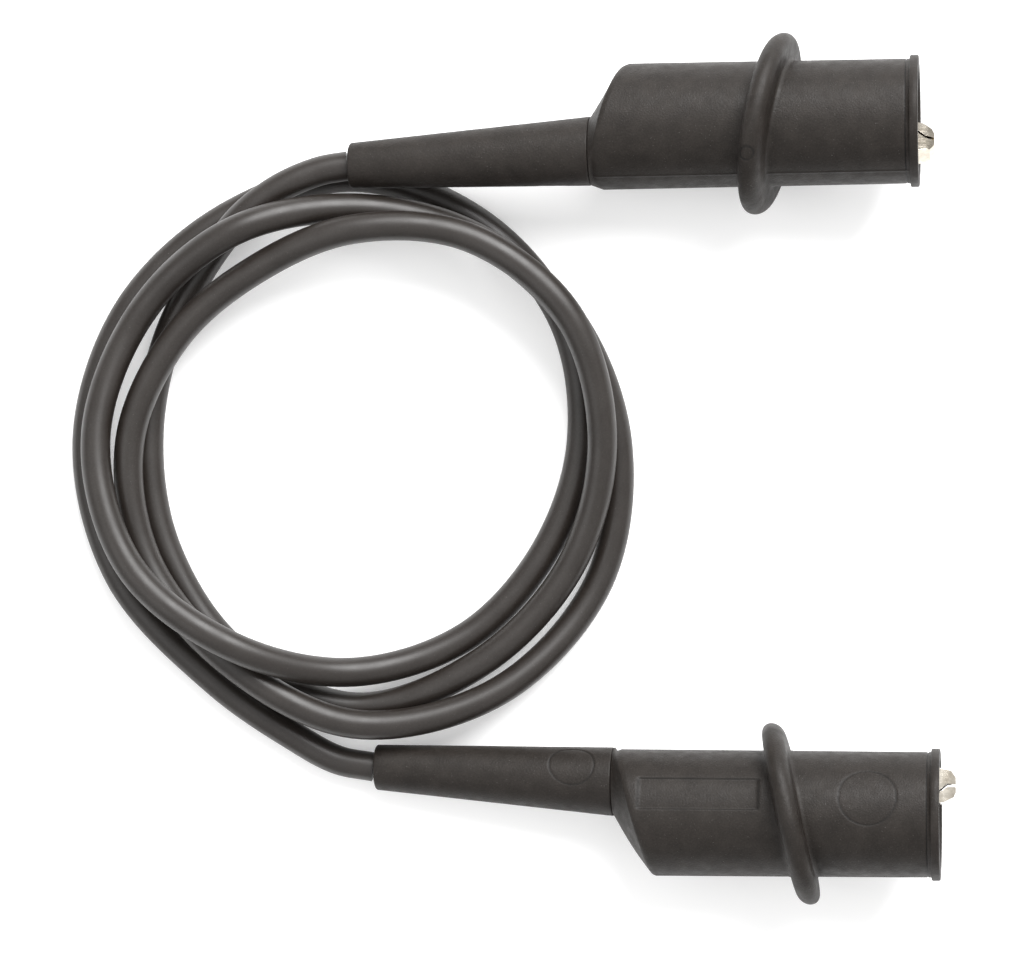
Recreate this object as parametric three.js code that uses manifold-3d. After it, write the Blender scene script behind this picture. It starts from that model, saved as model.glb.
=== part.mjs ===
// A black double-ended alligator-clip test lead: two insulated clips, each in a soft moulded boot
// with a finger guard, joined by one silicone lead that lies in a loose coil of three and a half turns.
// Millimetres, +Z up. The lead lies on the plane z = 0; the origin is under the middle of the two clips.
import * as THREE from "three";
import { mergeVertices } from "three/addons/utils/BufferGeometryUtils.js";
import { ConvexGeometry } from "three/addons/geometries/ConvexGeometry.js";
import Module from "manifold-3d";

const wasm = await Module();
wasm.setup();

const DEGREE = Math.PI / 180;
const GAP = 0.3; // between pieces that touch on the real lead

// Clip frame: x runs toward the mouth with 0 at the boot's rear face, y is the thumb-lever side,
// and y = z = 0 is the barrel's axis.
const ROUND_SIDES = 32;
const BARREL = { length: 44.9, rearRadius: 8.67, mouthRadius: 8.5, wall: 1.2 };
const SHOULDER = { lowX: 0.8, highX: 5.8 }; // where the rear taper meets the barrel, straight and lever side
const RIM = { radius: 9.0, thickness: 1.2 };
const GUARD = { x: 24.5, radius: 12.4, width: 3.4, rootWidth: 4.2, lean: 12.3 * DEGREE };
const RELIEF = { length: 33.5, bigRadius: 4.75, bigY: -4.2, smallRadius: 3.15, smallY: -6.0 };
const NECK = { radius: 3.2, length: 2.6 };
const CABLE_RADIUS = 2.05;
const CABLE_SIDES = 10;
const STRIPPED_X = 3.4; // where the insulation ends inside the boot
const CONDUCTOR_RADIUS = 0.9;
const SHEET = 0.6; // thickness of the stamped jaws
const PIVOT = { x: 22, y: -1, radius: 1.0, headRadius: 1.7, headThickness: 0.5 };
const JAW = {
  tipX: 47,
  rearX: 9,
  fixedHalfWidth: 4.2,
  movingHalfWidth: 3.2,
  noseHalfWidth: 3.0,
  tipHalfWidth: 1.2,
};
const TEETH = { firstX: 28.2, pitch: 2.2, count: 8, y: -4.1, depth: 0.9 };
const CRIMP = { x: 4.6, length: 5, boreRadius: 1.25, radius: 1.85, seam: 0.5 };
const SPRING = { wireRadius: 0.4, coilRadius: 1.8, turns: 3, pitch: 1.0 };

const materials = {
  boot: new THREE.MeshStandardMaterial({ color: 0x2b2926, roughness: 0.75, metalness: 0 }),
  cable: new THREE.MeshStandardMaterial({ color: 0x24221f, roughness: 0.5, metalness: 0 }),
  nickel: new THREE.MeshStandardMaterial({ color: 0xc9c4b8, roughness: 0.2, metalness: 1 }),
  steel: new THREE.MeshStandardMaterial({ color: 0x9a9a98, roughness: 0.35, metalness: 1 }),
  copper: new THREE.MeshStandardMaterial({ color: 0xb5784e, roughness: 0.35, metalness: 1 }),
};

// ---- solids -------------------------------------------------------------------------------------

function solid(geometry) {
  const bare = geometry.clone();
  bare.deleteAttribute("normal");
  bare.deleteAttribute("uv");
  const merged = mergeVertices(bare, 1e-4);
  return new wasm.Manifold(
    new wasm.Mesh({
      numProp: 3,
      vertProperties: new Float32Array(merged.attributes.position.array),
      triVerts: new Uint32Array(merged.index.array),
    }),
  );
}

function geometryOf(body) {
  const mesh = body.getMesh();
  const geometry = new THREE.BufferGeometry();
  geometry.setAttribute("position", new THREE.BufferAttribute(mesh.vertProperties, 3));
  geometry.setIndex(new THREE.BufferAttribute(mesh.triVerts, 1));
  geometry.computeVertexNormals();
  return geometry;
}

// A solid of revolution about the clip's x axis: profile points are [x, radius].
function turned(profile, sides = ROUND_SIDES) {
  const points = profile.map(([x, radius]) => new THREE.Vector2(radius, x));
  const geometry = new THREE.LatheGeometry(points, sides);
  return geometry.rotateZ(-Math.PI / 2);
}

// A round bar along x from one place to another, its axis at height y.
function bar(fromX, toX, radius, y = 0, sides = ROUND_SIDES) {
  return turned([[fromX, 0], [fromX, radius], [toX, radius], [toX, 0]], sides).translate(0, y, 0);
}

// A side outline in x and y, given its thickness across z about the middle plane.
function sidePlate(outline, halfWidth) {
  const shape = new THREE.Shape(outline.map(([x, y]) => new THREE.Vector2(x, y)));
  const geometry = new THREE.ExtrudeGeometry(shape, { depth: 2 * halfWidth, bevelEnabled: false });
  return geometry.translate(0, 0, -halfWidth);
}

// A plan outline in x and z, mirrored about z = 0 and given a height in y that clears the whole clip.
function planPrism(halfOutline) {
  const back = [...halfOutline].reverse();
  const outline = [...halfOutline.map(([x, z]) => [x, -z]), ...back];
  const shape = new THREE.Shape(outline.map(([x, z]) => new THREE.Vector2(x, z)));
  const geometry = new THREE.ExtrudeGeometry(shape, { depth: 40, bevelEnabled: false });
  return geometry.translate(0, 0, -20).rotateX(Math.PI / 2);
}

function crossBar(x, y, radius, halfLength, sides = 16) {
  const geometry = new THREE.CylinderGeometry(radius, radius, 2 * halfLength, sides);
  return geometry.rotateX(Math.PI / 2).translate(x, y, 0);
}

function ring(x, y, radius, leanX = 0, sides = ROUND_SIDES) {
  const points = [];
  for (let i = 0; i < sides; i++) {
    const angle = (i / sides) * 2 * Math.PI;
    const side = Math.cos(angle) * radius;
    points.push(new THREE.Vector3(x + leanX * (side / radius), y + side, Math.sin(angle) * radius));
  }
  return points;
}

function tubeAlong(points, radius, sides, steps) {
  const curve = new THREE.CatmullRomCurve3(points, false, "centripetal");
  const section = new THREE.Shape();
  for (let i = 0; i < sides; i++) {
    const angle = (i / sides) * 2 * Math.PI;
    const corner = [Math.cos(angle) * radius, Math.sin(angle) * radius];
    if (i === 0) section.moveTo(...corner);
    else section.lineTo(...corner);
  }
  return new THREE.ExtrudeGeometry(section, { steps, extrudePath: curve, bevelEnabled: false });
}

// ---- the boot and its strain relief ---------------------------------------------------------------

// The barrel's solid shape, with the rear tapering down on to the strain relief. The same loft, smaller,
// is the hollow inside it.
function barrelLoft(inset, rearX, mouthX) {
  const middle = (SHOULDER.lowX + SHOULDER.highX) / 2 + inset;
  const lean = (SHOULDER.highX - SHOULDER.lowX) / 2;
  return new ConvexGeometry([
    ...ring(rearX, RELIEF.bigY, RELIEF.bigRadius - inset * 0.7),
    ...ring(middle, 0, BARREL.rearRadius - inset, lean),
    ...ring(mouthX, 0, BARREL.mouthRadius - inset),
  ]);
}

function bootGeometry() {
  const rim = turned([
    [BARREL.length - RIM.thickness, 0],
    [BARREL.length - RIM.thickness, RIM.radius],
    [BARREL.length, RIM.radius],
    [BARREL.length, 0],
  ]);
  const crest = GUARD.width / 2;
  const inner = BARREL.mouthRadius - BARREL.wall / 2;
  const profile = [[-GUARD.rootWidth / 2, inner], [-GUARD.rootWidth / 2, BARREL.mouthRadius + 0.3]];
  for (let i = 0; i <= 6; i++) {
    const angle = Math.PI - (i / 6) * Math.PI;
    profile.push([Math.cos(angle) * crest, GUARD.radius - crest + Math.sin(angle) * crest]);
  }
  profile.push([GUARD.rootWidth / 2, BARREL.mouthRadius + 0.3], [GUARD.rootWidth / 2, inner]);
  profile.push(profile[0]);
  const guard = turned(profile).rotateZ(-GUARD.lean).translate(GUARD.x, 0, 0);
  const hollow = barrelLoft(BARREL.wall, BARREL.wall + 0.4, BARREL.length + 5);
  const neckHole = bar(-1, 4, NECK.radius + GAP, RELIEF.bigY, 20);
  return geometryOf(
    solid(barrelLoft(0, 0, BARREL.length))
      .add(solid(rim))
      .add(solid(guard))
      .subtract(solid(hollow))
      .subtract(solid(neckHole)),
  );
}

// The bore follows the taper's own axis, which leans toward the straight side going back.
const reliefSlope = Math.atan2(RELIEF.bigY - RELIEF.smallY, RELIEF.length);

function reliefGeometry() {
  const rear = -RELIEF.length;
  const taper = new ConvexGeometry([
    ...ring(-GAP, RELIEF.bigY, RELIEF.bigRadius, 0, 24),
    ...ring(rear + 0.8, RELIEF.smallY, RELIEF.smallRadius + 0.04, 0, 24),
    ...ring(rear, RELIEF.smallY, RELIEF.smallRadius - 0.5, 0, 24),
  ]);
  const neck = bar(-1, NECK.length, NECK.radius, RELIEF.bigY, 24);
  const bore = bar(-RELIEF.length - 2, 0, CABLE_RADIUS + GAP, 0, 16);
  bore.rotateZ(reliefSlope).translate(0, RELIEF.bigY, 0);
  const neckBore = bar(-0.5, NECK.length + 1, CABLE_RADIUS + GAP, RELIEF.bigY, 16);
  return geometryOf(solid(taper).add(solid(neck)).subtract(solid(bore)).subtract(solid(neckBore)));
}

// The end of the lead's insulation inside the relief, and the bare strands in the jaw's crimp.
function cableEndGeometry() {
  const inside = 0.4;
  const at = (x) => new THREE.Vector3(x, RELIEF.bigY + Math.min(x, 0) * Math.tan(reliefSlope), 0);
  const places = [at(-RELIEF.length + inside), at(-20), at(-8), at(0), at(STRIPPED_X)];
  return tubeAlong(places, CABLE_RADIUS, CABLE_SIDES, 6);
}

function conductorGeometry() {
  return bar(STRIPPED_X + GAP, CRIMP.x + CRIMP.length - 0.2, CONDUCTOR_RADIUS, RELIEF.bigY, 10);
}

// ---- the clip -------------------------------------------------------------------------------------

// The toothed line where the jaws meet, from the tip back to the last tooth.
function teethLine(offset) {
  const points = [];
  for (let i = TEETH.count; i >= 0; i--) {
    const x = TEETH.firstX + i * TEETH.pitch;
    points.push([x, TEETH.y + offset]);
    if (i > 0) points.push([x - TEETH.pitch / 2, TEETH.y + TEETH.depth + offset]);
  }
  return points;
}

// Plan outline of a jaw: wide at the pivot, narrow along the nose.
function jawPlan(halfWidth, inset, rearX) {
  return [
    [rearX, halfWidth - inset],
    [25, halfWidth - inset],
    [28, JAW.noseHalfWidth - inset],
    [JAW.tipX - 1.2, JAW.tipHalfWidth + 0.3 - inset],
    [JAW.tipX - inset, JAW.tipHalfWidth - 0.3 - inset],
  ];
}

function arc(x, y, radius, fromDegrees, toDegrees, steps) {
  const points = [];
  for (let i = 0; i <= steps; i++) {
    const angle = (fromDegrees + ((toDegrees - fromDegrees) * i) / steps) * DEGREE;
    points.push([x + Math.cos(angle) * radius, y + Math.sin(angle) * radius]);
  }
  return points;
}

function fixedJawGeometry() {
  const floor = [[JAW.rearX, -5.7], [34, -6.1], [44.5, -6.3], [46.4, -5.9], [JAW.tipX, -5.0]];
  const ear = arc(PIVOT.x, PIVOT.y, 2.2, 20, 160, 6);
  const back = [[17, -3.6], [JAW.rearX, -4.4]];
  const outline = [...floor, [JAW.tipX, TEETH.y], ...teethLine(0), [26.4, -3.4], ...ear, ...back];
  const raised = floor.map(([x, y]) => [Math.min(x, JAW.tipX - SHEET), y + SHEET]);
  const above = [[JAW.tipX - SHEET, 6], [JAW.rearX - 1, 6]];
  const inner = [[JAW.rearX - 1, -5.7 + SHEET], ...raised.slice(1), ...above];
  const plan = (inset) => solid(planPrism(jawPlan(JAW.fixedHalfWidth, inset, 0)));
  const body = solid(sidePlate(outline, 10)).intersect(plan(0));
  const channel = solid(sidePlate(inner, 10)).intersect(plan(SHEET));
  const crimpEnd = CRIMP.x + CRIMP.length;
  const crimpStart = [CRIMP.x, CRIMP.boreRadius];
  const crimpOuter = [[CRIMP.x, CRIMP.radius], [crimpEnd, CRIMP.radius]];
  const crimp = turned([crimpStart, ...crimpOuter, [crimpEnd, CRIMP.boreRadius], crimpStart], 16);
  const seam = new THREE.BoxGeometry(8, 2, CRIMP.seam).translate(7, RELIEF.bigY + 1.6, 0);
  return geometryOf(
    body
      .subtract(channel)
      .add(solid(crimp.translate(0, RELIEF.bigY, 0)))
      .subtract(solid(seam))
      .subtract(solid(crossBar(PIVOT.x, PIVOT.y, PIVOT.radius + GAP, 10))),
  );
}

function movingJawGeometry() {
  const lift = 0.4; // the gap left between the two rows of teeth
  const ear = arc(PIVOT.x, PIVOT.y, 1.9, -20, -160, 6);
  const spine = [[6.4, 5.6], [12, 4.9], [20, 2.6], [28, 0.9], [38, -0.7], [45.4, -1.6], [46.7, -2.3]];
  const tip = [[JAW.tipX, -3.0], [JAW.tipX, TEETH.y + lift]];
  const lever = [[18, 0.2], [12, 2.9], [6.4, 4.2]];
  const outline = [...spine, ...tip, ...teethLine(lift), [26.6, -2.4], ...ear, ...lever];
  const lowered = spine.map(([x, y]) => [Math.min(x, JAW.tipX - SHEET), y - SHEET]);
  const inner = [[5, 5.2], ...lowered.slice(1), [JAW.tipX - SHEET, -12], [5, -12]];
  const plan = (inset) => {
    const widest = JAW.movingHalfWidth - inset;
    return [[0, widest], ...jawPlan(JAW.movingHalfWidth, inset, 15)];
  };
  const body = solid(sidePlate(outline.reverse(), 10)).intersect(solid(planPrism(plan(0))));
  const channel = solid(sidePlate(inner.reverse(), 10)).intersect(solid(planPrism(plan(SHEET))));
  return geometryOf(
    body.subtract(channel).subtract(solid(crossBar(PIVOT.x, PIVOT.y, PIVOT.radius + GAP, 10))),
  );
}

function rivetGeometry() {
  const earFace = JAW.fixedHalfWidth + GAP;
  const headMiddle = earFace + PIVOT.headThickness / 2;
  const half = earFace + PIVOT.headThickness;
  const head = (side) => {
    const disc = crossBar(PIVOT.x, PIVOT.y, PIVOT.headRadius, PIVOT.headThickness / 2);
    return solid(disc.translate(0, 0, side * headMiddle));
  };
  return geometryOf(solid(crossBar(PIVOT.x, PIVOT.y, PIVOT.radius, half)).add(head(1)).add(head(-1)));
}

// A torsion spring round the rivet: one leg along the fixed jaw's floor, one under the thumb lever.
function springGeometry() {
  const points = [];
  const span = (SPRING.turns + 0.5) * SPRING.pitch;
  const legY = PIVOT.y - SPRING.coilRadius;
  points.push(new THREE.Vector3(12.5, legY - 1.1, -span / 2), new THREE.Vector3(17, legY - 0.5, -span / 2));
  const steps = Math.round((SPRING.turns + 0.5) * 12);
  for (let i = 0; i <= steps; i++) {
    const turn = i / 12;
    const angle = -Math.PI / 2 + turn * 2 * Math.PI;
    const x = PIVOT.x + Math.cos(angle) * SPRING.coilRadius;
    const y = PIVOT.y + Math.sin(angle) * SPRING.coilRadius;
    points.push(new THREE.Vector3(x, y, -span / 2 + turn * SPRING.pitch));
  }
  points.push(new THREE.Vector3(17.5, 1.7, span / 2), new THREE.Vector3(12.5, 3.2, span / 2));
  return tubeAlong(points, SPRING.wireRadius, 6, 64);
}

// ---- where the two clips lie ------------------------------------------------------------------------

// Each clip lies on its finger guard with the mouth raised. Roll is about its own axis, then pitch,
// then heading.
const CLIPS = {
  a: { at: [-7.83, 47.19, 8.68], roll: -33, pitch: 8.0, heading: 0.3 },
  b: { at: [-4.94, -47.54, 8.87], roll: 170, pitch: 8.25, heading: 0.3 },
};

function clip(name) {
  const place = CLIPS[name];
  const group = new THREE.Group();
  group.position.set(...place.at);
  group.rotation.set(place.roll * DEGREE, -place.pitch * DEGREE, place.heading * DEGREE, "ZYX");
  const piece = (part, geometry, material) => {
    const mesh = new THREE.Mesh(geometry, material);
    mesh.name = part + "_" + name;
    group.add(mesh);
  };
  piece("boot", bootGeometry(), materials.boot);
  piece("strain_relief", reliefGeometry(), materials.boot);
  piece("cable_end", cableEndGeometry(), materials.cable);
  piece("conductor", conductorGeometry(), materials.copper);
  piece("fixed_jaw", fixedJawGeometry(), materials.nickel);
  piece("moving_jaw", movingJawGeometry(), materials.nickel);
  piece("pivot_rivet", rivetGeometry(), materials.nickel);
  piece("torsion_spring", springGeometry(), materials.steel);
  return group;
}

// ---- the cord between them --------------------------------------------------------------------------

// The cord leaves clip a's relief, winds about three and a half loose turns counterclockwise round
// the coil's middle and runs into clip b's relief. The turns lie on one another, so each crossing
// lifts the upper strand by a little over one cord diameter.
const COIL = { x: -41, y: 4, firstAngle: 120, step: 30 };
const FROM_CLIP_A = [[-41.7, 42.0, 7.1], [-46.0, 41.2, 6.9], [-52.0, 38.5, 6.7]];
// At each step round the coil: distance from its middle, and height.
const TURNS = [
  [34.0, 6.1], [30.0, 2.5], [28.9, 2.1], [30.5, 2.1], [34.0, 2.1], [37.4, 2.4],
  [35.7, 4.4], [34.9, 5.0], [34.5, 8.3], [34.3, 11.5], [32.1, 11.1], [28.9, 11.0],
  [27.1, 8.6], [28.4, 7.1], [31.1, 6.4], [33.3, 5.9], [35.3, 6.6], [39.5, 6.8],
  [40.4, 5.2], [39.5, 2.3], [36.7, 4.0], [34.4, 6.8], [32.8, 6.4], [32.1, 7.3],
  [33.0, 11.0], [34.4, 6.6], [35.7, 8.0], [35.4, 10.1], [33.0, 10.9], [32.4, 4.8],
  [31.6, 2.4], [30.8, 2.1], [31.7, 2.1], [33.6, 2.1], [35.1, 2.1], [36.8, 2.1],
  [36.1, 2.1], [36.7, 2.1], [37.6, 2.1], [38.2, 2.1], [39.1, 2.1],
];
const TO_CLIP_B = [[-49.5, -37.6, 2.2], [-43.5, -40.8, 2.5], [-38.3, -41.8, 2.9]];
const CORD_STEPS = 80;

function cordRoute() {
  const turns = TURNS.map(([distance, height], i) => {
    const angle = (COIL.firstAngle + i * COIL.step) * DEGREE;
    return [COIL.x + distance * Math.cos(angle), COIL.y + distance * Math.sin(angle), height];
  });
  return [...FROM_CLIP_A, ...turns, ...TO_CLIP_B];
}

function cordMesh() {
  const route = cordRoute().map((point) => new THREE.Vector3(...point));
  const mesh = new THREE.Mesh(tubeAlong(route, CABLE_RADIUS, CABLE_SIDES, CORD_STEPS), materials.cable);
  mesh.name = "lead_cord";
  return mesh;
}

const lead = new THREE.Group();
lead.add(clip("a"), clip("b"), cordMesh());

export default lead;
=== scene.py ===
"""A black double-ended alligator-clip test lead: two clips in finger-guard boots and one coiled cord.

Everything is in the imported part's frame. A clip's own pieces are worked out in its clip frame, in
millimetres: x runs toward the mouth from the boot's rear face, y is the thumb-lever side, and the
barrel's axis is y = z = 0. clip_matrix() carries them to the row frame, in metres.
"""

import math

import bpy
import numpy as np
from mathutils import Matrix, Vector


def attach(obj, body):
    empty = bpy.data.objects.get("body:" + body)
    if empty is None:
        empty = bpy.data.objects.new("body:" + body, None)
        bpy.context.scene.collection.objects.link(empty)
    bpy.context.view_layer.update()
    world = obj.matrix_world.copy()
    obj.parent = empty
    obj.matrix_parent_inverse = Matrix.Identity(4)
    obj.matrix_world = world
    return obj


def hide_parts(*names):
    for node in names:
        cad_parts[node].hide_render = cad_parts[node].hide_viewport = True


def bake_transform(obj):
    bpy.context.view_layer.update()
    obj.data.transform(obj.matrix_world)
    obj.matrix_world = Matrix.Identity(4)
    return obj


MM = 0.001

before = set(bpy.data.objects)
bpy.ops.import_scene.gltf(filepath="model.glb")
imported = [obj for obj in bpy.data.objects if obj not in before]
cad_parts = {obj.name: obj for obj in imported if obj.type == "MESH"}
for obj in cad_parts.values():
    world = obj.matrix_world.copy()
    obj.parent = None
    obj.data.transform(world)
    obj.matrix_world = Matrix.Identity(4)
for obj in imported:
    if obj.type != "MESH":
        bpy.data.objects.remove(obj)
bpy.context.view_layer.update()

# ---- driving dimensions, in millimetres and degrees -----------------------------------------------

CLIPS = {
    "a": {"at": (-7.83, 47.19, 8.68), "roll": -33.0, "pitch": 8.0, "heading": 0.3},
    "b": {"at": (-4.94, -47.54, 8.87), "roll": 170.0, "pitch": 8.25, "heading": 0.3},
}
BARREL_LENGTH = 44.9
BARREL_REAR_RADIUS = 8.67
BARREL_MOUTH_RADIUS = 8.5
BARREL_WALL = 1.2
CREASE_X = 3.3  # the shoulder's oblique crease, at the barrel's axis
CREASE_LEAN = 2.5  # how much further forward it is on the lever side
RIM_RADIUS = 9.0
RIM_THICKNESS = 1.2
GUARD_X = 24.5
GUARD_RADIUS = 12.4
GUARD_HALF_WIDTH = 1.55
GUARD_LEAN = 12.3
RELIEF_LENGTH = 33.5
RELIEF_BIG_RADIUS = 4.75
RELIEF_BIG_Y = -4.2
RELIEF_SMALL_RADIUS = 3.15
RELIEF_SMALL_Y = -6.0
NECK_RADIUS = 3.2
NECK_LENGTH = 2.6
CORD_RADIUS = 2.05
PIVOT_X = 22.0
PIVOT_Y = -1.0
RIVET_RADIUS = 1.0
RIVET_HEAD_RADIUS = 1.7
RIVET_HEAD_FACE = 4.5  # from the clip's middle plane to the underside of a head
STRIPPED_X = 3.4  # where the insulation ends inside the boot
CRIMP_END_X = 9.6
STRAND_COUNT = 7
STRAND_RADIUS = 0.29
STRAND_OFFSET = 0.6
WIRE_RADIUS = 0.4
COIL_RADIUS = 1.8
COIL_TURNS = 3.5
COIL_PITCH = 1.0
EDGE_ROUNDING = 0.13  # on the stamped jaws

# ---- camera and cord --------------------------------------------------------------------------------


def make_camera():
    """Straight down over the lead, with the image's top toward +Y."""
    data = bpy.data.cameras.new("camera")
    data.sensor_width = 36.0
    data.lens = 123.4
    data.clip_end = 10.0
    camera = bpy.data.objects.new("camera", data)
    camera.location = (-0.01818, -0.00183, 0.5)
    bpy.context.scene.collection.objects.link(camera)
    bpy.context.scene.camera = camera


# The cord's centreline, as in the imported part: from clip a's relief, counterclockwise round the
# coil's middle and into clip b's relief.
COIL_X = -0.041
COIL_Y = 0.004
COIL_FIRST_ANGLE = 120
COIL_STEP = 30
FROM_CLIP_A = [(-0.0417, 0.0420, 0.0071), (-0.0460, 0.0412, 0.0069), (-0.0520, 0.0385, 0.0067)]
# At each step round the coil: distance from its middle, and height.
TURNS = [
    (0.0340, 0.0061), (0.0300, 0.0025), (0.0289, 0.0021), (0.0305, 0.0021), (0.0340, 0.0021),
    (0.0374, 0.0024), (0.0357, 0.0044), (0.0349, 0.0050), (0.0345, 0.0083), (0.0343, 0.0115),
    (0.0321, 0.0111), (0.0289, 0.0110), (0.0271, 0.0086), (0.0284, 0.0071), (0.0311, 0.0064),
    (0.0333, 0.0059), (0.0353, 0.0066), (0.0395, 0.0068), (0.0404, 0.0052), (0.0395, 0.0023),
    (0.0367, 0.0040), (0.0344, 0.0068), (0.0328, 0.0064), (0.0321, 0.0073), (0.0330, 0.0110),
    (0.0344, 0.0066), (0.0357, 0.0080), (0.0354, 0.0101), (0.0330, 0.0109), (0.0324, 0.0048),
    (0.0316, 0.0024), (0.0308, 0.0021), (0.0317, 0.0021), (0.0336, 0.0021), (0.0351, 0.0021),
    (0.0368, 0.0021), (0.0361, 0.0021), (0.0367, 0.0021), (0.0376, 0.0021), (0.0382, 0.0021),
    (0.0391, 0.0021),
]
TO_CLIP_B = [(-0.0495, -0.0376, 0.0022), (-0.0435, -0.0408, 0.0025), (-0.0383, -0.0418, 0.0029)]


def cord_route():
    turns = []
    for i, (distance, height) in enumerate(TURNS):
        angle = math.radians(COIL_FIRST_ANGLE + i * COIL_STEP)
        turns.append((COIL_X + distance * math.cos(angle), COIL_Y + distance * math.sin(angle), height))
    return FROM_CLIP_A + turns + TO_CLIP_B


def smooth_line(points, per_span):
    """The centripetal Catmull-Rom curve through the points, sampled evenly in each span."""
    p = np.array(points, float)
    p = np.vstack([2 * p[0] - p[1], p, 2 * p[-1] - p[-2]])
    samples = []
    for i in range(1, len(p) - 2):
        p0, p1, p2, p3 = p[i - 1 : i + 3]
        d0, d1, d2 = (math.sqrt(np.linalg.norm(b - a)) for a, b in ((p0, p1), (p1, p2), (p2, p3)))
        m1 = d1 * ((p1 - p0) / d0 - (p2 - p0) / (d0 + d1) + (p2 - p1) / d1)
        m2 = d1 * ((p2 - p1) / d1 - (p3 - p1) / (d1 + d2) + (p3 - p2) / d2)
        for t in np.arange(per_span) / per_span:
            a = 2 * t**3 - 3 * t**2 + 1
            b = t**3 - 2 * t**2 + t
            samples.append(a * p1 + b * m1 + (1 - a) * p2 + (t**3 - t**2) * m2)
    samples.append(p[-2])
    return samples


def tube_curve(name, line, radius, material, sides=6):
    """A round tube as a curve object along the sampled line, in metres."""
    data = bpy.data.curves.new(name, "CURVE")
    data.dimensions = "3D"
    data.bevel_depth = radius
    data.bevel_resolution = sides
    data.use_fill_caps = True
    spline = data.splines.new("POLY")
    spline.points.add(len(line) - 1)
    for point, place in zip(spline.points, line):
        point.co = (*place, 1.0)
    spline.use_smooth = True
    data.materials.append(material)
    piece = bpy.data.objects.new(name, data)
    bpy.context.scene.collection.objects.link(piece)
    return piece


# painted shade: this point attribute says how far a point of a boot is darkened for the shade in its fine
# grooves, its pin-mark rings and along the panel's edge; the parting lines are darkened a little too
GROOVE_SHADE = "groove_shade"  # the point attribute that says how deep in a fine groove a point of a boot lies

# ---- materials ----------------------------------------------------------------------------------------


class Nodes:
    """A material's node tree, with short calls for the few node types used here."""

    def __init__(self, name):
        self.material = bpy.data.materials.new(name)
        self.material.use_nodes = True
        self.tree = self.material.node_tree
        self.shader = self.tree.nodes["Principled BSDF"]
        self.place = self.add("ShaderNodeTexCoord").outputs["Object"]

    def add(self, kind, **inputs):
        node = self.tree.nodes.new(kind)
        for key, value in inputs.items():
            node.inputs[key].default_value = value
        return node

    def link(self, source, target):
        self.tree.links.new(source, target)

    def noise(self, size_mm, detail=2.0, stretch=None):
        """Noise with features of about that size, optionally stretched along an axis."""
        node = self.add("ShaderNodeTexNoise", Scale=1 / (size_mm * MM), Detail=detail)
        place = self.place
        if stretch:
            mapping = self.add("ShaderNodeMapping", Scale=stretch)
            self.link(place, mapping.inputs["Vector"])
            place = mapping.outputs["Vector"]
        self.link(place, node.inputs["Vector"])
        return node.outputs["Factor" if "Factor" in node.outputs else "Fac"]

    def ramp(self, value, low, high, colours):
        """Two colours blended as the value goes from low to high."""
        node = self.add("ShaderNodeValToRGB")
        for element, position, colour in zip(node.color_ramp.elements, (low, high), colours):
            element.position = position
            element.color = (*colour, 1.0)
        self.link(value, node.inputs["Fac"])
        return node.outputs["Color"]

    def remap(self, value, low, high, to_low, to_high):
        node = self.add("ShaderNodeMapRange")
        node.inputs["From Min"].default_value = low
        node.inputs["From Max"].default_value = high
        node.inputs["To Min"].default_value = to_low
        node.inputs["To Max"].default_value = to_high
        self.link(value, node.inputs["Value"])
        return node.outputs["Result"]

    def average(self, first, second):
        node = self.add("ShaderNodeMath")
        node.operation = "MULTIPLY_ADD"
        node.inputs[1].default_value = 0.5
        half = self.add("ShaderNodeMath")
        half.operation = "MULTIPLY"
        half.inputs[1].default_value = 0.5
        self.link(first, half.inputs[0])
        self.link(second, node.inputs[0])
        self.link(half.outputs[0], node.inputs[2])
        return node.outputs[0]

    def mix(self, share, first, second):
        node = self.add("ShaderNodeMix")
        node.data_type = "RGBA"
        self.link(share, node.inputs["Factor"])
        self.link(first, node.inputs["A"] if node.inputs["A"].type == "RGBA" else node.inputs[6])
        self.link(second, node.inputs["B"] if node.inputs["B"].type == "RGBA" else node.inputs[7])
        return node.outputs[2]

    def bump(self, height, strength, distance_mm, under=None):
        node = self.add("ShaderNodeBump", Strength=strength, Distance=distance_mm * MM)
        self.link(height, node.inputs["Height"])
        if under:
            self.link(under, node.inputs["Normal"])
        return node.outputs["Normal"]


def moulded_rubber():
    """Matt black rubber: mottled, grainy from an eroded mould, a little dusty, with painted shade in its
    grooves.
    """
    n = Nodes("moulded_rubber")
    tone = n.average(n.noise(2.6, 3.0), n.noise(0.22, 2.0))
    mottle = n.ramp(tone, 0.36, 0.66, ((0.0090, 0.0068, 0.0053), (0.0185, 0.0150, 0.0126)))
    dust = n.ramp(n.noise(0.17, 1.0), 0.71, 0.80, ((0, 0, 0), (1, 1, 1)))
    pale = n.ramp(n.noise(0.9, 1.0), 0.3, 0.7, ((0.03, 0.028, 0.026), (0.09, 0.084, 0.08)))
    # painted shade: a near-black colour put in the grooves, pin-mark rings and panel edge through the groove
    # attribute
    painted_groove_shade = n.ramp(n.noise(1.0, 1.0), 0.3, 0.7, ((0.002, 0.002, 0.002), (0.004, 0.0035, 0.003)))
    groove_shade = n.add("ShaderNodeAttribute")
    groove_shade.attribute_name = GROOVE_SHADE
    dusty = n.mix(dust, mottle, pale)
    n.link(n.mix(groove_shade.outputs["Fac"], dusty, painted_groove_shade), n.shader.inputs["Base Color"])
    n.link(n.remap(n.noise(1.4, 3.0), 0.3, 0.7, 0.46, 0.60), n.shader.inputs["Roughness"])
    grain = n.bump(n.noise(0.24, 3.0), 0.95, 0.045)
    n.link(n.bump(n.noise(1.8, 2.0), 0.25, 0.05, grain), n.shader.inputs["Normal"])
    n.shader.inputs["Specular IOR Level"].default_value = 0.23
    return n.material


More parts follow.
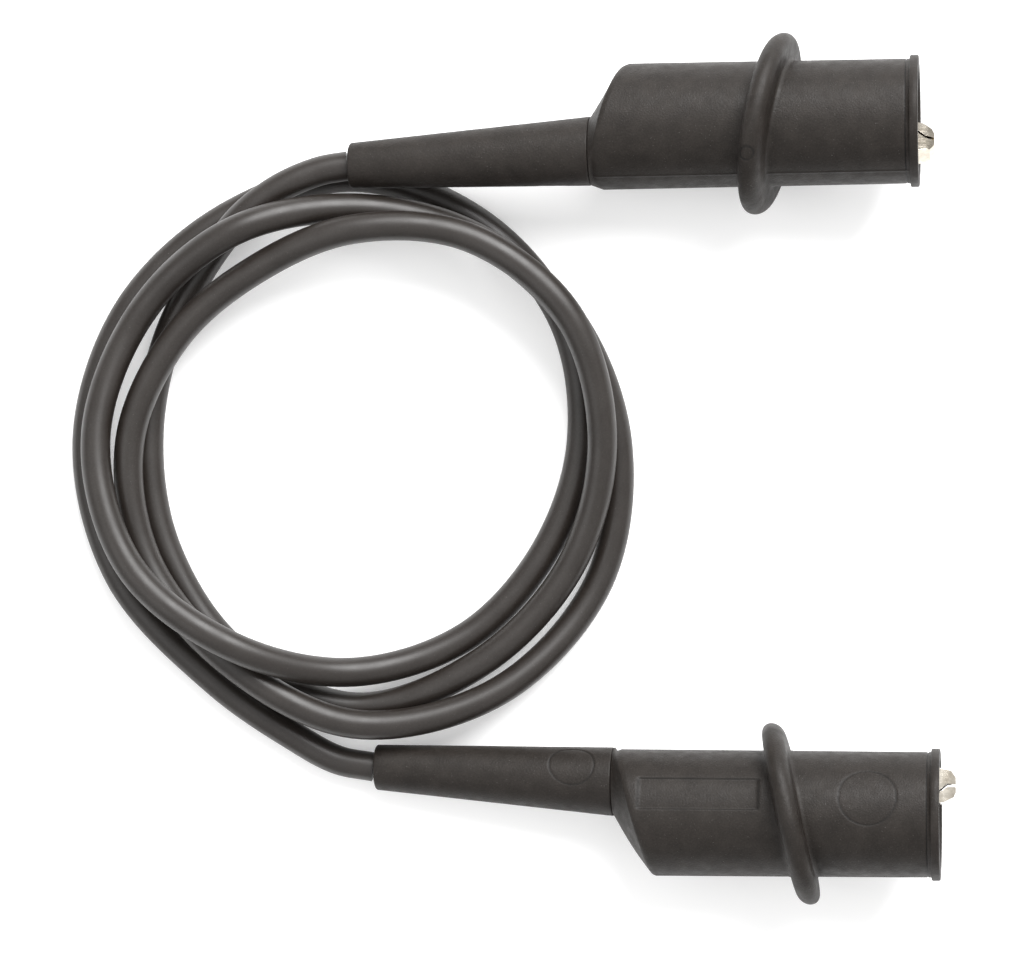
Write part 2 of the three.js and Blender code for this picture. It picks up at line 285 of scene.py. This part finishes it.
def silicone_jacket():
    """Satin extruded silicone: smooth, with faint smudges and a little fine dust."""
    n = Nodes("silicone_jacket")
    smudge = n.average(n.noise(5.0, 2.0), n.noise(0.3, 2.0))
    tone = n.ramp(smudge, 0.35, 0.65, ((0.0122, 0.0092, 0.0074), (0.0195, 0.0160, 0.0138)))
    dust = n.ramp(n.noise(0.16, 1.0), 0.73, 0.80, ((0, 0, 0), (1, 1, 1)))
    pale = n.ramp(n.noise(0.9, 1.0), 0.3, 0.7, ((0.035, 0.032, 0.030), (0.08, 0.075, 0.07)))
    n.link(n.mix(dust, tone, pale), n.shader.inputs["Base Color"])
    n.link(n.remap(n.noise(3.2, 3.0), 0.3, 0.7, 0.36, 0.46), n.shader.inputs["Roughness"])
    n.link(n.bump(n.noise(0.4, 2.0), 0.2, 0.02), n.shader.inputs["Normal"])
    n.shader.inputs["Specular IOR Level"].default_value = 0.43
    return n.material


def metal(name, dark, light, rough_low, rough_high, line_mm):
    """Plated or drawn metal with fine directional lines and slight tarnish."""
    n = Nodes(name)
    n.link(n.ramp(n.noise(1.6, 4.0), 0.3, 0.75, (light, dark)), n.shader.inputs["Base Color"])
    lines = n.noise(line_mm, 2.0, (0.06, 1.0, 1.0))
    n.link(n.remap(lines, 0.3, 0.7, rough_low, rough_high), n.shader.inputs["Roughness"])
    n.link(n.bump(lines, 0.12, 0.01), n.shader.inputs["Normal"])
    n.shader.inputs["Metallic"].default_value = 1.0
    return n.material


RUBBER = moulded_rubber()
JACKET = silicone_jacket()
NICKEL = metal("nickel_plate", (0.36, 0.32, 0.26), (0.62, 0.58, 0.51), 0.10, 0.22, 0.25)
SPRING_STEEL = metal("spring_steel", (0.34, 0.34, 0.34), (0.52, 0.52, 0.51), 0.28, 0.42, 0.1)
COPPER = metal("bare_copper", (0.48, 0.22, 0.12), (0.80, 0.46, 0.30), 0.22, 0.38, 0.1)

# ---- meshes --------------------------------------------------------------------------------------------


def clip_matrix(place):
    """From the clip frame, in millimetres, to the row frame, in metres."""
    turn = (
        Matrix.Rotation(math.radians(place["heading"]), 4, "Z")
        @ Matrix.Rotation(math.radians(-place["pitch"]), 4, "Y")
        @ Matrix.Rotation(math.radians(place["roll"]), 4, "X")
    )
    return Matrix.Scale(MM, 4) @ Matrix.Translation(place["at"]) @ turn


def finish_piece(piece, body, node):
    """Puts a finished piece on its CAD body, in the place of its CAD node."""
    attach(piece, body)
    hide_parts(node)
    return piece


def mesh_piece(name, points, faces, matrix, material):
    """A smooth mesh from points in the clip frame; a point's fourth number is how much painted shade it
    gets.
    """
    data = bpy.data.meshes.new(name)
    data.from_pydata([matrix @ Vector(p[:3]) for p in points], [], faces)
    if len(points[0]) == 4:
        data.attributes.new(GROOVE_SHADE, "FLOAT", "POINT").data.foreach_set("value", [p[3] for p in points])
    data.validate()
    data.polygons.foreach_set("use_smooth", [True] * len(data.polygons))
    data.materials.append(material)
    piece = bpy.data.objects.new(name, data)
    bpy.context.scene.collection.objects.link(piece)
    return piece


def skin(rows):
    """Points and faces of the closed surface through rows of points, the last row joined to the first."""
    count = len(rows[0])
    points = [tuple(p) for row in rows for p in row]
    faces = []
    for i in range(len(rows)):
        here = i * count
        there = ((i + 1) % len(rows)) * count
        for j in range(count):
            k = (j + 1) % count
            faces.append((here + j, here + k, there + k, there + j))
    return points, faces


class Rings:
    """Rows of points round the clip's x axis. Angles run from the lever side toward +z."""

    def __init__(self, angles):
        self.angles = angles
        self.cos = np.cos(angles)
        self.sin = np.sin(angles)

    def row(self, x, radius, centre_y=0.0, groove_shade=0.0):
        x, r, groove_shade = (np.broadcast_to(v, self.angles.shape) for v in (x, radius, groove_shade))
        return np.stack([x, centre_y + r * self.cos, r * self.sin, groove_shade], axis=1)

    def arc_from(self, angle, radius):
        """Signed distance round the surface from the line at that angle."""
        turn = (self.angles - angle + math.pi) % (2 * math.pi) - math.pi
        return turn * radius


def graded_angles(coarse, fine, bands):
    """Angles round a circle, closer together inside the given bands, all in degrees."""
    angles = []
    angle = -180.0
    while angle < 180.0 - 1e-6:
        angles.append(math.radians(angle))
        inside = any(low <= angle < high for low, high in bands)
        angle += fine if inside else coarse
    return np.array(angles)


def smooth_step(value, low, high):
    t = np.clip((value - low) / (high - low), 0, 1)
    return t * t * (3 - 2 * t)


def line_mark(away, width):
    """How deep in a fine line a point lies, from 0 to 1, by its distance from the line's middle."""
    return np.exp(-((away / width) ** 2))


def disc_mark(along, across, radius):
    """The mark a round mould pin leaves, a fine groove round a slightly sunk disc: (depth, painted shade in
    the groove).
    """
    away = np.hypot(along, across)
    ring = line_mark(away - radius, 0.10)
    sunk = 0.03 * (1 - smooth_step(away, radius - 0.1, radius + 0.1))
    return 0.09 * ring + sunk, ring


def band(value, low, high, edge):
    """1 between low and high, 0 outside them, with soft edges."""
    return smooth_step(value, low - edge, low + edge) * (1 - smooth_step(value, high - edge, high + edge))


# ---- the boots ------------------------------------------------------------------------------------------

SHOULDER_CORNER = 0.35  # how far before the crease the taper starts to round over
SHOULDER_BULGE = 0.40
GUARD_FILLET = 0.65
RIM_GROOVE_DEPTH = 0.1
SEAM_HEIGHT = 0.07
PANEL_X = (4.2, 20.6)  # the blank recessed panel on the -z side
PANEL_Y = (-4.1, 0.2)
PANEL_DEPTH = 0.24
PIN_MARK_X = 35.3
PIN_MARK_ANGLE = math.radians(-101.5)
PIN_MARK_RADIUS = 3.9
GUARD_MARK_ANGLE = math.radians(147.0)
GUARD_MARK_RADIUS = 0.95


def barrel_surface(rings, x):
    """The barrel's radius and painted groove shade: slight taper, blank panel, pin mark and two parting
    lines, with painted shade on the panel's edge and the pin mark's ring, and the parting lines darkened a
    little.
    """
    radius = BARREL_REAR_RADIUS + (BARREL_MOUTH_RADIUS - BARREL_REAR_RADIUS) * x / BARREL_LENGTH
    y = radius * rings.cos
    far_side = rings.sin < 0
    panel = band(x, *PANEL_X, 0.28) * band(y, *PANEL_Y, 0.09) * far_side
    # painted shade: a thin dark band along the panel's recessed edge
    outline = 4 * panel * (1 - panel)
    across = rings.arc_from(PIN_MARK_ANGLE, BARREL_MOUTH_RADIUS)
    pin, pin_groove = disc_mark(x - PIN_MARK_X, across, PIN_MARK_RADIUS)
    seam = sum(line_mark(rings.arc_from(angle, BARREL_MOUTH_RADIUS), 0.16) for angle in (0.0, math.pi))
    radius = radius - PANEL_DEPTH * panel - pin + SEAM_HEIGHT * seam
    return radius, np.clip(0.7 * outline + 0.75 * pin_groove + 0.25 * seam, 0, 1)


def boot_rows():
    rings = Rings(graded_angles(2.4, 0.9, [(-142, -62), (138, 156), (-4, 4), (172, 180), (-180, -172)]))
    crease = CREASE_X + CREASE_LEAN * rings.cos
    big = RELIEF_BIG_RADIUS
    rows = [
        rings.row(0.0, NECK_RADIUS + 0.1, RELIEF_BIG_Y),
        rings.row(0.0, big - 0.12, RELIEF_BIG_Y),
        rings.row(0.03, big - 0.04, RELIEF_BIG_Y),
        rings.row(0.12, big, RELIEF_BIG_Y),
    ]
    start = rows[-1]
    corner = SHOULDER_CORNER
    end = rings.row(crease - corner, BARREL_REAR_RADIUS - 0.62 * corner)
    for t in np.linspace(0, 1, 14)[1:]:
        bulge = SHOULDER_BULGE * math.sin(math.pi * t)
        row = start * (1 - t) + end * t
        row[:, 1] += bulge * np.maximum(rings.cos, 0) ** 6
        rows.append(row)
    shoulder = barrel_surface(rings, crease)[0]
    rows.append(rings.row(crease - 0.12, shoulder - 0.12))
    rows.append(rings.row(crease + 0.22, shoulder))

    # The barrel up to the guard, in rows that turn from the crease's lean to the guard's.
    slope = math.tan(math.radians(GUARD_LEAN))
    guard_x = GUARD_X + slope * BARREL_MOUTH_RADIUS * rings.cos
    root = GUARD_HALF_WIDTH + GUARD_FILLET
    for t in np.linspace(0, 1, 78)[1:]:
        x = (crease + 0.22) * (1 - t) + (guard_x - root) * t
        radius, groove_shade = barrel_surface(rings, x)
        rows.append(rings.row(x, radius, groove_shade=groove_shade))

    # The guard: a fillet, a straight flank and a round crest, leaning with the lever side forward.
    crest = GUARD_RADIUS - GUARD_HALF_WIDTH
    base = barrel_surface(rings, GUARD_X)[0]
    profile = [(-root + 0.30, base + 0.05), (-root + 0.52, base + 0.18)]
    profile += [(-GUARD_HALF_WIDTH - 0.08, base + 0.48), (-GUARD_HALF_WIDTH, base + 0.9)]
    crest_profile = []
    for angle in np.radians(np.linspace(180, 0, 25)):
        dx = math.cos(angle) * GUARD_HALF_WIDTH
        across = rings.arc_from(GUARD_MARK_ANGLE, GUARD_RADIUS)
        # the crest's round pin mark, its ring darkened with painted shade
        mark, groove_shade = disc_mark(dx + 0.2, across, GUARD_MARK_RADIUS)
        crest_profile.append((dx, crest + math.sin(angle) * GUARD_HALF_WIDTH - mark, groove_shade))
    front = [(dx, radius, 0.0) for dx, radius in profile]
    back = [(-dx, radius, 0.0) for dx, radius in reversed(profile)]
    for dx, radius, groove_shade in front + crest_profile + back:
        rows.append(rings.row(GUARD_X + slope * radius * rings.cos + dx, radius, groove_shade=groove_shade))

    # On to the mouth rim, with the fine groove behind it, darkened with painted shade.
    rim_x = BARREL_LENGTH - RIM_THICKNESS
    for t in np.linspace(0, 1, 84):
        x = (guard_x + root) * (1 - t) + (rim_x - 0.75) * t
        radius, groove_shade = barrel_surface(rings, x)
        rows.append(rings.row(x, radius, groove_shade=groove_shade))
    near = barrel_surface(rings, rim_x - 0.7)[0]
    for dx, sunk in ((-0.60, 0.0), (-0.52, 1.0), (-0.44, 1.0), (-0.36, 0.0), (-0.06, 0.0)):
        rows.append(rings.row(rim_x + dx, near - RIM_GROOVE_DEPTH * sunk, groove_shade=0.9 * sunk))
    inner = BARREL_MOUTH_RADIUS - BARREL_WALL
    rim = [(0.0, RIM_RADIUS - 0.35), (0.02, RIM_RADIUS - 0.10), (0.14, RIM_RADIUS)]
    rim += [(RIM_THICKNESS - 0.2, RIM_RADIUS), (RIM_THICKNESS - 0.04, RIM_RADIUS - 0.06)]
    rim += [(RIM_THICKNESS, RIM_RADIUS - 0.2), (RIM_THICKNESS, inner + 0.25), (RIM_THICKNESS - 0.25, inner)]
    rows += [rings.row(rim_x + dx, radius) for dx, radius in rim]

    # The bore, back to the rear wall and its neck hole.
    rows += [rings.row(x, inner) for x in (40, 34, 28, 22, 16, 11, 8)]
    rows.append(rings.row(crease + 1.6, inner))
    rows.append(rings.row(1.8, big - 0.8, RELIEF_BIG_Y))
    rows.append(rings.row(1.6, NECK_RADIUS + 0.1, RELIEF_BIG_Y))
    return rows


END_CORNER = 0.35  # the rounding of the relief's small end


def relief_rows():
    rings = Rings(graded_angles(3.75, 1.8, [(-160, -65), (-4, 4)]))
    rear = -RELIEF_LENGTH
    mark_angle = math.radians(-113)

    def outer(x):
        t = -x / RELIEF_LENGTH
        radius = RELIEF_BIG_RADIUS + (RELIEF_SMALL_RADIUS - RELIEF_BIG_RADIUS) * t
        across = rings.arc_from(mark_angle, RELIEF_BIG_RADIUS)
        mark, groove_shade = disc_mark(x + 5.5, across, 3.15)
        centre = RELIEF_BIG_Y + (RELIEF_SMALL_Y - RELIEF_BIG_Y) * t
        # painted shade: the pin mark's ring darkened, at three quarters strength
        return radius - mark, centre, 0.75 * groove_shade

    rows = [rings.row(-0.06, NECK_RADIUS, RELIEF_BIG_Y), rings.row(-0.06, outer(0)[0] - 0.12, RELIEF_BIG_Y)]
    rows.append(rings.row(-0.09, outer(0)[0] - 0.04, RELIEF_BIG_Y))
    for x in np.concatenate([np.linspace(-0.2, -9.5, 62), np.linspace(-10.5, rear + END_CORNER, 24)]):
        rows.append(rings.row(x, *outer(x)))
    for degrees in (20, 40, 60, 80, 90):
        a = math.radians(degrees)
        radius, centre, _ = outer(rear + END_CORNER)
        x = rear + END_CORNER * (1 - math.sin(a))
        rows.append(rings.row(x, radius - END_CORNER * (1 - math.cos(a)), centre))
    bore = CORD_RADIUS + 0.03
    rows.append(rings.row(rear, bore + 0.18, RELIEF_SMALL_Y))
    rows.append(rings.row(rear + 0.18, bore, RELIEF_SMALL_Y))
    for t in (0.1, 0.4, 0.7, 1.0):
        rows.append(rings.row(rear * (1 - t), bore, RELIEF_SMALL_Y + (RELIEF_BIG_Y - RELIEF_SMALL_Y) * t))
    rows.append(rings.row(NECK_LENGTH, bore, RELIEF_BIG_Y))
    rows.append(rings.row(NECK_LENGTH, NECK_RADIUS - 0.2, RELIEF_BIG_Y))
    rows.append(rings.row(NECK_LENGTH - 0.2, NECK_RADIUS, RELIEF_BIG_Y))
    return rows


# ---- the inner pieces -----------------------------------------------------------------------------------


def beveled_copy(name, node, material, width_mm):
    """The CAD piece's shape with its sheet edges rounded, as stamping and plating leave them."""
    piece = bpy.data.objects.new(name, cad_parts[node].data.copy())
    bpy.context.scene.collection.objects.link(piece)
    piece.data.materials.clear()
    piece.data.materials.append(material)
    weld = piece.modifiers.new("weld", "WELD")
    weld.merge_threshold = 0.00001
    bevel = piece.modifiers.new("bevel", "BEVEL")
    bevel.width = width_mm * MM
    bevel.segments = 3
    bevel.limit_method = "ANGLE"
    bevel.angle_limit = math.radians(32)
    piece.data.polygons.foreach_set("use_smooth", [True] * len(piece.data.polygons))
    normals = piece.modifiers.new("normals", "WEIGHTED_NORMAL")
    normals.keep_sharp = False
    return piece


def rivet_rows():
    """A rivet across the clip with two domed heads, as rows of rings round its own axis."""
    shank = RIVET_RADIUS
    head = RIVET_HEAD_RADIUS
    face = RIVET_HEAD_FACE
    half = [(0.05, face + 0.52)]
    for degrees in (65, 45, 25, 8, 0):
        a = math.radians(degrees)
        half.append((head * math.cos(a), face + 0.08 + 0.42 * math.sin(a)))
    half += [(head, face), (shank, face), (shank, face - 0.3)]
    profile = half + [(radius, -z) for radius, z in reversed(half)]
    rows = []
    for radius, z in profile:
        ring = [k * math.pi / 16 for k in range(32)]
        rows.append([(PIVOT_X + radius * math.cos(a), PIVOT_Y + radius * math.sin(a), z) for a in ring])
    return rows


def closed_by_caps(rows):
    """Points and faces of a skin through the rows, with a face over each end row."""
    points, faces = skin(rows)
    count = len(rows[0])
    faces = faces[: count * (len(rows) - 1)]
    last = (len(rows) - 1) * count
    return points, faces + [tuple(reversed(range(count))), tuple(range(last, last + count))]


def spring_line():
    """Along one leg, round the turns and out along the other leg, in the clip frame."""
    span = COIL_TURNS * COIL_PITCH
    leg_y = PIVOT_Y - COIL_RADIUS
    points = [(12.5, leg_y - 1.1, -span / 2), (17.0, leg_y - 0.5, -span / 2)]
    for i in range(int(COIL_TURNS * 12) + 1):
        angle = -math.pi / 2 + i / 12 * 2 * math.pi
        x = PIVOT_X + math.cos(angle) * COIL_RADIUS
        y = PIVOT_Y + math.sin(angle) * COIL_RADIUS
        points.append((x, y, -span / 2 + i / 12 * COIL_PITCH))
    points += [(17.5, 1.7, span / 2), (12.5, 3.2, span / 2)]
    return smooth_line(points, 4)


def round_bar_rows(line, radius, sides):
    """Rings of points square to a line, for a bar that has to be a mesh."""
    line = [Vector(p) for p in line]
    rows = []
    up = Vector((0, 0, 1))
    for i, here in enumerate(line):
        ahead = (line[min(i + 1, len(line) - 1)] - line[max(i - 1, 0)]).normalized()
        across = ahead.cross(up).normalized()
        other = ahead.cross(across)
        ring = [k * 2 * math.pi / sides for k in range(sides)]
        rows.append([here + (across * math.cos(a) + other * math.sin(a)) * radius for a in ring])
    return rows


def strand_rows(index, count):
    """One strand of the conductor, twisted round the others from the insulation to the crimp."""
    offset = STRAND_OFFSET if index < count - 1 else 0.0
    start = STRIPPED_X + 0.1
    line = []
    for t in np.linspace(0, 1, 40):
        angle = 2 * math.pi * (index / (count - 1) + 0.8 * t)
        x = start + (CRIMP_END_X - start) * t
        line.append((x, RELIEF_BIG_Y + offset * math.cos(angle), offset * math.sin(angle)))
    return round_bar_rows(line, STRAND_RADIUS, 10)


def joined(shapes):
    """Several (points, faces) shapes as one."""
    points, faces = [], []
    for more_points, more_faces in shapes:
        start = len(points)
        points += more_points
        faces += [tuple(start + i for i in face) for face in more_faces]
    return points, faces


# ---- build ---------------------------------------------------------------------------------------------


def cable_end_line():
    slope = (RELIEF_BIG_Y - RELIEF_SMALL_Y) / RELIEF_LENGTH
    xs = (-RELIEF_LENGTH + 0.1, -26, -18, -10, -4, 0, STRIPPED_X)
    return smooth_line([(x, RELIEF_BIG_Y + min(x, 0) * slope, 0) for x in xs], 4)


def make_clip(name):
    matrix = clip_matrix(CLIPS[name])

    def node(part):
        return part + "_" + name

    boot = mesh_piece("boot_shell_" + name, *skin(boot_rows()), matrix, RUBBER)
    finish_piece(boot, "lead", node("boot"))
    relief = mesh_piece("relief_taper_" + name, *skin(relief_rows()), matrix, RUBBER)
    finish_piece(relief, "lead", node("strain_relief"))
    inner_line = [matrix @ Vector(p) for p in cable_end_line()]
    cable = tube_curve("jacket_end_" + name, inner_line, CORD_RADIUS * MM, JACKET)
    finish_piece(cable, "lead", node("cable_end"))
    strands = joined([closed_by_caps(strand_rows(i, STRAND_COUNT)) for i in range(STRAND_COUNT)])
    conductor = mesh_piece("strands_" + name, *strands, matrix, COPPER)
    finish_piece(conductor, "lead", node("conductor"))
    jaw = beveled_copy("lower_jaw_" + name, node("fixed_jaw"), NICKEL, EDGE_ROUNDING)
    finish_piece(jaw, "lead", node("fixed_jaw"))
    jaw = beveled_copy("upper_jaw_" + name, node("moving_jaw"), NICKEL, EDGE_ROUNDING)
    finish_piece(jaw, "jaw_" + name, node("moving_jaw"))
    rivet = mesh_piece("rivet_" + name, *closed_by_caps(rivet_rows()), matrix, NICKEL)
    finish_piece(rivet, "lead", node("pivot_rivet"))
    wire = closed_by_caps(round_bar_rows(spring_line(), WIRE_RADIUS, 12))
    spring = mesh_piece("wound_spring_" + name, *wire, matrix, SPRING_STEEL)
    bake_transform(spring)
    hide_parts(node("torsion_spring"))


def make_cord():
    cord = tube_curve("silicone_cord", smooth_line(cord_route(), 16), CORD_RADIUS * MM, JACKET, sides=8)
    finish_piece(cord, "lead", "lead_cord")


# ---- studio -----------------------------------------------------------------------------------------------


def make_floor():
    n = Nodes("pale_floor")
    shade = n.ramp(n.noise(60.0, 2.0), 0.2, 0.8, ((0.80, 0.80, 0.80), (0.83, 0.83, 0.83)))
    n.link(shade, n.shader.inputs["Base Color"])
    n.shader.inputs["Roughness"].default_value = 0.9
    n.shader.inputs["Emission Color"].default_value = (1, 1, 1, 1)
    n.shader.inputs["Emission Strength"].default_value = 0.27
    n.shader.inputs["Specular IOR Level"].default_value = 0.1
    size = 3.0
    corners = [(-size, -size, 0), (size, -size, 0), (size, size, 0), (-size, size, 0)]
    data = bpy.data.meshes.new("floor")
    data.from_pydata(corners, [], [(0, 1, 2, 3)])
    data.materials.append(n.material)
    floor = bpy.data.objects.new("floor", data)
    bpy.context.scene.collection.objects.link(floor)


def area_light(name, place, size, power):
    data = bpy.data.lights.new(name, "AREA")
    data.shape = "DISK"
    data.size = size
    data.energy = power
    light = bpy.data.objects.new(name, data)
    light.location = place
    light.rotation_euler = (Vector((-0.02, 0, 0)) - Vector(place)).to_track_quat("-Z", "Y").to_euler()
    bpy.context.scene.collection.objects.link(light)


def make_studio():
    """A white tent that darkens toward the horizon, one big lamp at the upper right and a weak fill."""
    world = bpy.data.worlds.new("studio")
    world.use_nodes = True
    tree = world.node_tree
    split = tree.nodes.new("ShaderNodeSeparateXYZ")
    tree.links.new(tree.nodes.new("ShaderNodeTexCoord").outputs["Generated"], split.inputs[0])
    ramp = tree.nodes.new("ShaderNodeValToRGB")
    ramp.color_ramp.elements[0].position = 0.05
    ramp.color_ramp.elements[0].color = (0.38, 0.37, 0.36, 1)
    ramp.color_ramp.elements[1].position = 0.55
    ramp.color_ramp.elements[1].color = (1, 1, 1, 1)
    tree.links.new(split.outputs["Z"], ramp.inputs["Fac"])
    tree.links.new(ramp.outputs["Color"], tree.nodes["Background"].inputs["Color"])
    tree.nodes["Background"].inputs["Strength"].default_value = 1.05
    bpy.context.scene.world = world
    bpy.context.scene.view_settings.view_transform = "Standard"
    area_light("key", (0.30, 0.75, 0.80), 0.90, 26.0)
    area_light("fill", (-0.7, -0.2, 0.9), 0.8, 2.0)


make_camera()
make_cord()
make_clip("a")
make_clip("b")
make_floor()
make_studio()
